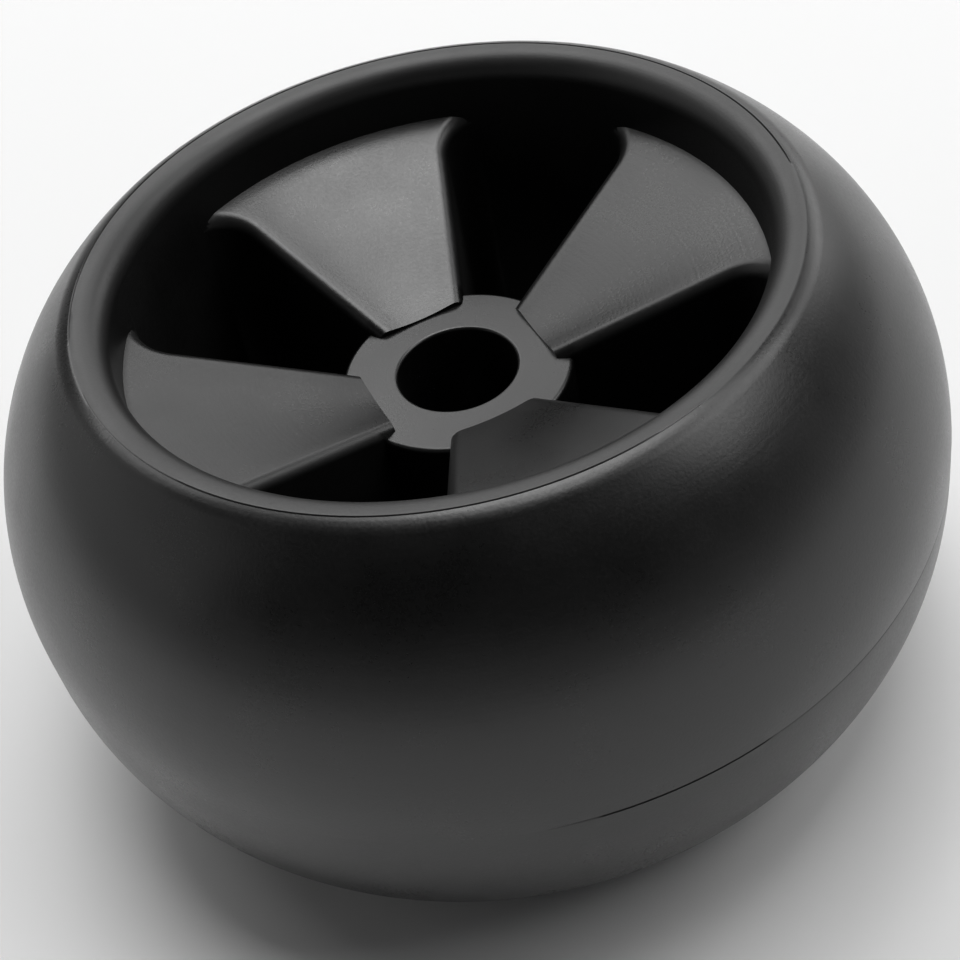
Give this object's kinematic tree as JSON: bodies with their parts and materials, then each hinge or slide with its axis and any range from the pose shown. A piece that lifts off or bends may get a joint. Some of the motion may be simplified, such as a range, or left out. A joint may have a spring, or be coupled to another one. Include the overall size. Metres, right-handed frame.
{
  "type": "lawn mower deck wheel",
  "caption": "Crowned, one-piece moulded wheel with a recessed hub, sloping webs, deep pockets and a plain bore, for carrying the edge of a mower deck.",
  "frame": {"origin": "middle of the bore, half-way across the wheel", "axes": "+Z along the bore; +X and +Y through the middles of pockets that are open at the upper end"},
  "size_m": [0.127, 0.127, 0.0698],
  "materials": {
    "moulded_plastic": "satin, as moulded"
  },
  "bodies": {
    "root": {"deck_wheel": "moulded_plastic"}
  },
  "joints": []
}
